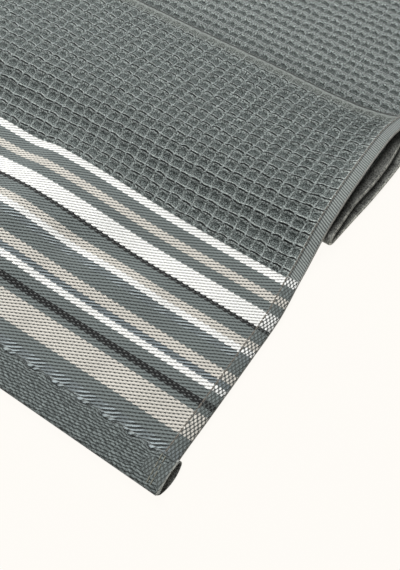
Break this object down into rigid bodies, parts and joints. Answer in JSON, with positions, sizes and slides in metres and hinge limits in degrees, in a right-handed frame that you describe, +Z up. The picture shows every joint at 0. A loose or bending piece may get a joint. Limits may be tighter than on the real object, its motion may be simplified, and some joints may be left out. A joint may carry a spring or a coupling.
{
  "type": "waffle-weave face towel",
  "caption": "Rectangular waffle-weave cotton face towel with a striped twill end and turned hems, laid down in one back-and-forth fold.",
  "frame": {"origin": "middle of the folded towel's footprint, on the surface it lies on", "axes": "+X along the weft to the towel's right-hand side hem, +Y along the warp from the striped hem to the far end, +Z up"},
  "size_m": [0.3172, 0.354, 0.0109],
  "materials": {
    "cotton_cloth": "matt slate-grey cotton, honeycomb weave, with white, sand and near-black stripes in plain twill at one end"
  },
  "bodies": {
    "root": {"towel_cloth": "cotton_cloth"}
  },
  "joints": []
}
